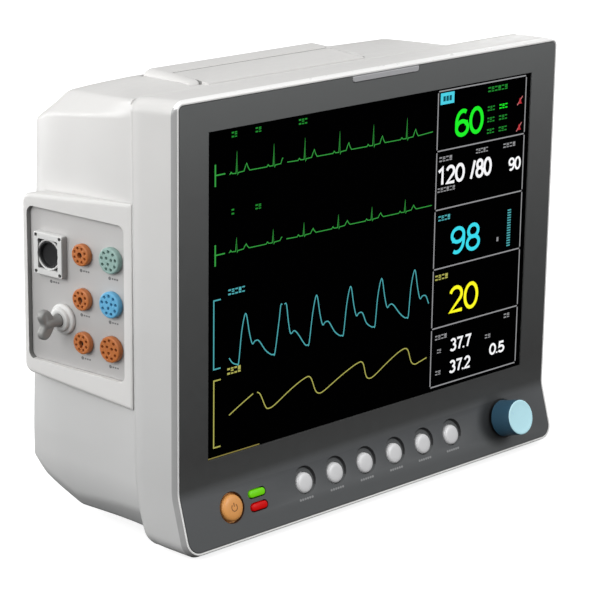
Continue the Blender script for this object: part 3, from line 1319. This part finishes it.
def pod_frame():
    rows = [[(POD_ROOT_X, y + 0.05, z) for y, z in pod_outline(0.0)]]
    radius, steps = 3.2, 6
    for k in range(steps + 1):
        turn = math.radians(90 * k / steps)
        inward, depth = radius * (1 - math.cos(turn)), radius * (1 - math.sin(turn))
        row = []
        for i, (y, z) in enumerate(pod_outline(inward)):
            front = 9 <= i <= 12
            point = pod(y + (0.0 if front else 1.2), z, depth * (0.28 if front else 1.0))
            row.append((min(point[0], POD_ROOT_X - 0.02 * (7 - k)), point[1], point[2]))
        rows.append(row)
    frame_ob = make("sensor_pod_frame", loft(rows), "pod_shell", sharp=38)
    cut(frame_ob, prism(rounded_rect(RECESS_Y[0] + 1.2, RECESS_Y[1], *RECESS_Z, 5.5, 10), pod,
                        -5.0, 6.0))
    cut(frame_ob, prism(rounded_rect(RECESS_Y[0] + 6.0, RECESS_Y[1] - 6.0, RECESS_Z[0] + 4,
                                     RECESS_Z[1] - 4, 3.0, 6), pod, 0.0, 40.0))

    def on_recess_wall(place, normal):
        _, y, z = place
        inside = (RECESS_Y[0] < y < RECESS_Y[1] + 1.5
                  and RECESS_Z[0] - 1 < z < RECESS_Z[1] + 1)
        return inside and abs(normal.x) < 0.6 and (normal.y < -0.35 or normal.z < -0.35)

    paint(frame_ob, ["recess_wall"], on_recess_wall)
    stands_for(frame_ob, "sensor_pod")


def socket_panel():
    edge = rounded_rect(RECESS_Y[0] + 1.5, RECESS_Y[1] - 0.3, RECESS_Z[0] + 0.3,
                        RECESS_Z[1] - 0.3, 5.2, 10)
    panel = make("socket_panel_sheet", prism(edge, pod, PANEL_DEPTH, PANEL_DEPTH + 2.0),
                 "panel_shell")
    holes = [(6.5, place) for place in SMALL_SOCKETS] + [(7.9, place) for place in LARGE_SOCKETS]
    holes += [(11.0, (FLANGE_Y, FLANGE_Z)), (7.0, (PORT_Y, PORT_Z))]
    cut(panel, *[drum(radius, -6, 3, on_pod(*place)) for radius, place in holes])
    stands_for(panel, "socket_panel")


def hole_ring(count, radius, start):
    """Holes evenly round a circle, as offsets from its centre."""
    angles = [math.radians(start + 360 * i / count) for i in range(count)]
    return [(radius * math.cos(a), radius * math.sin(a)) for a in angles]


def socket(size, index, place, radius, holes, hole, look, key=None):
    """A round socket with small holes and, where key is a radius, a keyed centre hole."""
    y, z = place
    name = f"{size}_socket_{index}"
    profile = [(0, -9.0), (radius - 1.7, -9.0), (radius - 1.7, GAP), (radius - 0.1, GAP),
               (radius, GAP + 0.2), (radius, 3.6), (radius - 0.1, 4.05), (radius - 0.35, 4.4),
               (radius - 0.8, 4.6), (radius - 1.2, 4.62), (0, 4.62)]
    body = make(name, spin(profile, 56, on_pod(y, z)), look, sharp=40)
    placers = [on_pod(y + across * FLARE_COS, z + up) for across, up in holes]
    hole_profile = [(0, 2.2), (hole * 0.85, 2.2), (hole, 4.3), (hole * 1.15, 4.7),
                    (hole * 1.15, 9), (0, 9)]
    cut(body, *[spin(hole_profile, 14, placer) for placer in placers])
    pits = [drum(hole * 0.82, 2.21, 2.9, placer, 14) for placer in placers]
    if key:
        cut(body, drum(key, 1.4, 9, on_pod(y, z), 28))
        cut(body, prism(rectangle(y - 1.0, y + 1.0, z - key - 1.1, z), pod, PANEL_DEPTH - 1.6,
                        PANEL_DEPTH - 9))
        pits.append(drum(key - 0.05, 1.41, 1.9, on_pod(y, z), 28))
    stands_for(body, f"sensor_socket_{size}_{index}")
    detail(make(name + "_pits", merged(pits), "socket_pit"), "black_plastic")


def sockets():
    small = hole_ring(8, 5.0, 22.5)
    large = hole_ring(9, 6.3, 10) + hole_ring(3, 2.5, 40)
    for i, place in enumerate(SMALL_SOCKETS):
        socket("small", i + 1, place, 7.7, small, hole=1.0, look="socket_orange", key=2.1)
    looks = ("socket_mint", "socket_blue", "socket_orange")
    for i, (place, look) in enumerate(zip(LARGE_SOCKETS, looks)):
        socket("large", i + 1, place, 9.1, large, hole=1.12, look=look)


def socket_flange():
    """A rectangular plate with a split collar, four corner pits and a black cup."""
    y, z, half_y, half_z = FLANGE_Y, FLANGE_Z, 13.5, 15.0
    signs = [(side, up) for side in (-1, 1) for up in (-1, 1)]
    centre = on_pod(y, z)
    screws = [on_pod(y + side * 11.1, z + up * 12.9) for side, up in signs]
    rings = [ring(rounded_rect(y - half_y + inward, y + half_y - inward, z - half_z + inward,
                               z + half_z - inward, 1.5 - inward * 0.5, 6),
                  pod, PANEL_DEPTH - height)
             for inward, height in ((0.0, GAP), (0.0, 4.6), (0.2, 5.0), (0.6, 5.2))]
    flange = make("socket_flange_plate", loft(rings), "flange_shell", sharp=40)
    cut(flange, drum(9.6, -2, 8, centre, 56))
    cut(flange, prism(rounded_rect(y - 9.2, y + 9.2, z - 10.6, z + 10.6, 1.0, 4), pod,
                      PANEL_DEPTH - 3.0, PANEL_DEPTH - 9))
    cut(flange, *[drum(1.3, -2, 8, placer, 16) for placer in screws])
    paint(flange, ["flange_edge"], lambda _, normal: normal.y < -0.55 or normal.z < -0.8)
    stands_for(flange, "module_socket_flange")

    profile = [(9.65, 0.6), (10.9, 0.6), (10.9, 4.1), (10.6, 4.5), (10.0, 4.5), (9.65, 4.1)]
    collar = make("socket_flange_collar", spin(profile, 56, centre), "flange_shell", sharp=40)
    cut(collar, *[prism(rectangle(y0, y1, z - 12, z + 12), pod, PANEL_DEPTH - 3.0,
                        PANEL_DEPTH - 9) for y0, y1 in ((y - 12, y - 9.15), (y + 9.15, y + 12))])
    detail(collar, "panel_grey")

    pits = [prism([(y + side * 9.0, z + up * 10.4), (y + side * 4.2, z + up * 10.4),
                   (y + side * 9.0, z + up * 5.6)][::side * up],
                  pod, PANEL_DEPTH - 3.35, PANEL_DEPTH - 2.9) for side, up in signs]
    pits += [spin([(0, 2.2), (1.25, 2.2), (1.25, 3.7), (0, 3.9)], 16, placer)
             for placer in screws]
    detail(make("socket_flange_pits", merged(pits), "black_moulding"), "black_plastic")

    profile = [(0, -9), (9.2, -9), (9.2, 3.7), (9.0, 4.0), (8.4, 4.0), (8.2, 3.6), (8.2, 1.4),
               (0, 1.4)]
    stands_for(make("socket_insert_cup", spin(profile, 56, centre), "black_moulding", sharp=40),
               "module_socket_insert")


# One lobe of the grip, (height above the panel, Z); the other mirrors it.
WING_LOBE = [(12.2, -3.6), (14.0, -6.4), (16.0, -9.0), (18.4, -10.5), (21.2, -10.7),
             (23.6, -9.4), (24.8, -7.0), (24.6, -4.4), (23.0, -2.2)]


def wing():
    """A flat two-lobed grip across the hose fitting, with rounded edges."""
    loop = fillet(WING_LOBE + [(22.2, 0.0)] + [(u, -z) for u, z in WING_LOBE[::-1]], 1.6, 3)
    placer = on_pod(PORT_Y, PORT_Z)
    rows = []
    # Each station: offset across the grip, inset of the outline
    for across, inward in ((-2.7, 1.5), (-2.45, 0.7), (-1.8, 0.15), (0.0, 0.0), (1.8, 0.15),
                           (2.45, 0.7), (2.7, 1.5)):
        row = []
        for i in range(len(loop)):
            before, corner, after = [Vector(loop[j % len(loop)]) for j in (i - 1, i, i + 1)]
            along = ((corner - before).normalized() + (after - corner).normalized()).normalized()
            point = corner + Vector((-along.y, along.x)) * inward
            row.append(placer(across, point.y, point.x))
        rows.append(row)
    return loft(rows)


def air_port():
    placer = on_pod(PORT_Y, PORT_Z)
    collar = [(4.7, -8.0), (6.4, -8.0), (6.4, GAP), (10.6, GAP), (10.8, 0.7), (10.8, 2.2),
              (10.5, 2.8), (9.9, 3.2), (8.6, 3.3), (8.3, 3.6), (8.2, 5.2), (8.0, 5.8),
              (7.4, 6.2), (5.2, 6.3), (4.7, 6.1)]
    stands_for(make("air_port_collar", spin(collar, 56, placer), "flange_shell", sharp=40),
               "air_port_base")
    stem = [(0, -7.0), (4.25, -7.0), (4.25, 6.2), (4.6, 6.4), (4.6, 7.6), (4.2, 8.0), (3.9, 9.4),
            (3.9, 13.4), (4.0, 14.4), (3.9, 17.5), (3.4, 19.5), (2.6, 20.8), (1.6, 21.2),
            (0, 21.3)]
    coupler = make("air_hose_fitting", spin(stem, 40, placer), "hose_fitting_metal", sharp=45)
    join(coupler, wing())
    stands_for(coupler, "air_hose_coupler")


def socket_marks():
    """Under each socket, three small printed blocks and a dot."""
    marks = []
    for (y, z), drop in ([(place, 12.0) for place in SMALL_SOCKETS]
                         + [(place, 13.4) for place in LARGE_SOCKETS]
                         + [((FLANGE_Y - 1, FLANGE_Z), 20.0)]):
        marks.append(drum(1.25, -0.1, 0.07, on_pod(y + 3.0, z - drop), 16))
        for k in range(3):
            block = rounded_rect(y - 4.6 + 2.1 * k, y - 3.1 + 2.1 * k, z - drop - 0.6,
                                 z - drop + 0.6, 0.3, 3)
            marks.append(prism(block, pod, PANEL_DEPTH - 0.07, PANEL_DEPTH + 0.1))
    detail(make("socket_marks", merged(marks), "printed_grey"), "panel_grey")


pod_frame()
socket_panel()
sockets()
socket_flange()
air_port()
socket_marks()


# ------------------------------------------------------------------ back panel
def port_sheet():
    sheet_ob = make("rear_port_sheet", boxes((44.4, 145.6, 147.0, 149.0, 56.4, 103.6)),
                    "zinc_plate")
    cut(sheet_ob, boxes((107, 135, 140, 160, 70, 90)),
        drum(3.0, 140, 160, at(face_on, 54.5, 70), 28),
        boxes((63, 80, 140, 160, 84, 98), (62, 94, 140, 160, 62, 74)))
    stands_for(sheet_ob, "rear_port_panel")


def mains_inlet():
    inlet = make("mains_inlet_body", soft_box((107.4, 134.6, 128, 150.5, 70.4, 89.6), 0.6),
                 "black_moulding")
    mouth = fillet([(110.5, 73.5), (131.5, 73.5), (131.5, 82.5), (127.5, 86.5), (114.5, 86.5),
                    (110.5, 82.5)], 1.2, 4)
    cut(inlet, prism(mouth, face_on, 134.0, 156.0))
    stands_for(inlet, "mains_inlet")
    pins = [soft_box((x - 1, x + 1, 133.5, 147.5, z - 2.2, z + 2.2), 0.5)
            for x, z in ((115, 78.0), (127, 78.0), (121, 81.5))]
    detail(make("mains_inlet_pins", merged(pins), "nickel_plate"), "nickel")


def earth_post():
    profile = [(0, 143), (4.6, 143), (4.6, 146.4), (2.6, 146.4), (2.6, 150), (2.0, 153.0),
               (2.7, 154.2), (3.0, 155.2), (2.9, 157), (2.2, 158.0), (0, 158.0)]
    stands_for(make("earth_post", spin(profile, 32, at(face_on, 54.5, 70)), "nickel_plate"),
               "ground_post")


def network_jack():
    jack = make("network_jack", soft_box((63.4, 79.6, 136, 150.0, 84.4, 97.6), 0.4),
                "sheet_steel")
    cut(jack, boxes((65.6, 77.4, 139, 156, 86.4, 93.6)))
    cut(jack, boxes((68.6, 74.4, 139, 156, 93.0, 95.6)))
    stands_for(jack, "network_port")
    contacts = boxes(*[(66.6 + i * 1.35, 67.2 + i * 1.35, 139.0, 147.0, 86.3, 86.9)
                       for i in range(8)])
    detail(make("network_jack_contacts", contacts, "contact_gold"), "nickel")


def video_jack():
    jack = make("video_jack", soft_box((62.4, 93.6, 138, 150.0, 62.4, 73.6), 0.4), "sheet_steel")
    mouth = fillet([(69.5, 64.2), (86.5, 64.2), (88.0, 71.8), (68.0, 71.8)], 1.2, 4)
    cut(jack, prism(mouth, face_on, 144.0, 156.0))
    stands_for(jack, "video_port")
    face = fillet([(70.1, 64.8), (85.9, 64.8), (87.2, 71.2), (68.8, 71.2)], 1.0, 4)
    core = make("video_jack_core", prism(face, face_on, 143.8, 148.6), "socket_blue")
    # Three rows of five holes; the middle row is set over to the right in X.
    cut(core, *[drum(0.45, 146, 150, at(face_on, 78 + (i - 2) * 2.9 + (1.2 if row == 1 else 0),
                                        66.4 + row * 1.7), 8)
                for row in range(3) for i in range(5)])
    detail(core, "socket_blue")


def arm_plate():
    middle_z, half, hole = 160.0, 60, 50
    edge = rounded_rect(-half, half, middle_z - half, middle_z + half, 6)
    plate = make("arm_plate", prism(edge, face_on, CASE_BACK + GAP, CASE_BACK + GAP + 2.0),
                 "zinc_plate")
    cut(plate, *[drum(2.15, 140, 170, at(face_on, side * hole, middle_z + up * hole), 28)
                 for side in (-1, 1) for up in (-1, 1)])
    stands_for(plate, "vesa_plate")


port_sheet()
mains_inlet()
earth_post()
network_jack()
video_jack()
arm_plate()


# ------------------------------------------------------------------ feet
def foot(name, x, y, radius, flare, top):
    """A rubber foot with a fine groove round its underside."""
    profile = [(0, 0), (radius - 2.5, 0), (radius - 2.2, 0.25), (radius - 1.8, 0.25),
               (radius - 1.5, 0), (radius - 1, 0), (radius - 0.3, 0.3), (radius, 1.0),
               (radius + flare, top), (0, top)]
    pad = spin(profile, 40, at(top_down, x, y))
    stands_for(make(name + "_pad", pad, "foot_rubber"), name)


FRONT_FOOT = dict(y=6, radius=8.0, flare=0.6, top=2.3)
REAR_FOOT = dict(y=84, radius=10.0, flare=2.0, top=12.1)
foot("front_foot_left", -140, **FRONT_FOOT)
foot("front_foot_right", 140, **FRONT_FOOT)
foot("rear_foot_left", -112, **REAR_FOOT)
foot("rear_foot_right", 112, **REAR_FOOT)

# ------------------------------------------------------------------ CAD nodes shown as they are
CAD_LOOKS = {
    "sheet_steel": ("encoder_shaft", "lcd_panel", "lcd_bracket", "handle_pin_left",
                    "handle_pin_right", "chassis_plate", "power_supply"),
    "black_moulding": ("encoder_body", "speaker", "air_pump"),
    "nickel_plate": ("encoder_plunger",),
    "circuit_board": ("key_board", "alarm_light_board", "main_board", "parameter_board"),
    "battery_wrap": ("battery_pack",),
    "screen_glass_dark": ("screen_window",),
}
for look, names in CAD_LOOKS.items():
    for name in names:
        materials = frame["nodes"][name].data.materials
        materials.clear()
        materials.append(LOOK[look])

# ------------------------------------------------------------------ floor, light, camera
scene = bpy.context.scene


def pale_floor():
    """A glowing pale floor that only the camera and shadows see."""
    shape = bmesh.new()
    bmesh.ops.create_grid(shape, x_segments=2, y_segments=2, size=9.0)
    mesh = bpy.data.meshes.new("floor")
    shape.to_mesh(mesh)
    shape.free()
    floor = bpy.data.objects.new("floor", mesh)
    floor.location = (0, 0, -0.0002)
    scene.collection.objects.link(floor)
    tree, shader = new_material("floor_pale")
    feed(tree, shader, {
        "Base Color": (0.5, 0.5, 0.5, 1), "Roughness": 0.9, "Specular IOR Level": 0.0,
        "Emission Color": (1, 1, 1, 1), "Emission Strength": 0.78,
    })
    mesh.materials.append(LOOK["floor_pale"])
    floor.visible_diffuse = False
    floor.visible_glossy = False


def studio_world():
    """White to the camera; as light, brighter from above and from the left."""
    scene.world = bpy.data.worlds.new("studio")
    scene.world.use_nodes = True
    tree = scene.world.node_tree
    direction = node(tree, "TexCoord", "Generated")
    up = node(tree, "SeparateXYZ", "Z", {0: direction})
    across = up.node.outputs["X"]
    by_height = map_range(tree, up, (-0.40, 0.75), (0.03, 0.96), interpolation_type="SMOOTHSTEP")
    by_side = map_range(tree, across, (-1.0, 0.6), (1.12, 0.74), interpolation_type="SMOOTHSTEP")
    strength = node(tree, "Mix", "Result", {
        "Factor": node(tree, "LightPath", "Is Camera Ray"),
        "A": calculate(tree, "MULTIPLY", by_height, by_side), "B": 1.05,
    }, data_type="FLOAT")
    feed(tree, tree.nodes["Background"], {"Color": (1, 1, 1, 1), "Strength": strength})


def area_light(name, place, size, power):
    """A square light aimed at the middle of the monitor."""
    light = bpy.data.lights.new(name, "AREA")
    light.energy = power
    light.shape = "RECTANGLE"
    light.size = size
    light.size_y = size
    ob = bpy.data.objects.new(name, light)
    scene.collection.objects.link(ob)
    ob.location = place
    aim = Vector((0.0, 0.0, 0.16)) - Vector(place)
    ob.rotation_euler = aim.to_track_quat("-Z", "Y").to_euler()


def camera():
    lens = bpy.data.cameras.new("camera")
    ob = bpy.data.objects.new("camera", lens)
    scene.collection.objects.link(ob)
    lens.lens = 143.16167
    lens.sensor_width = 36.0
    lens.clip_start = 0.05
    lens.clip_end = 60.0
    right = Vector((0.72237468, -0.69137847, 0.01306249))
    down = Vector((-0.18576001, -0.21221453, -0.95940513))
    ahead = Vector((0.6660841, 0.69062349, -0.28172887))
    eye = world((-1172.901, -1137.82, 626.955))
    matrix = Matrix.Identity(4)
    for i in range(3):
        matrix[i] = (right[i], -down[i], -ahead[i], eye[i])
    ob.matrix_world = matrix
    scene.camera = ob


pale_floor()
studio_world()
area_light("key_left", (-1.9, 0.1, 0.95), size=1.1, power=19)
area_light("rim_back_left", (-0.95, 1.9, 0.40), size=0.8, power=17)
area_light("fill_right", (2.3, 1.2, 0.30), size=1.2, power=10)
area_light("fill_front", (0.7, -2.2, 1.5), size=1.2, power=21)
scene.view_settings.view_transform = "Standard"
scene.view_settings.look = "None"
camera()
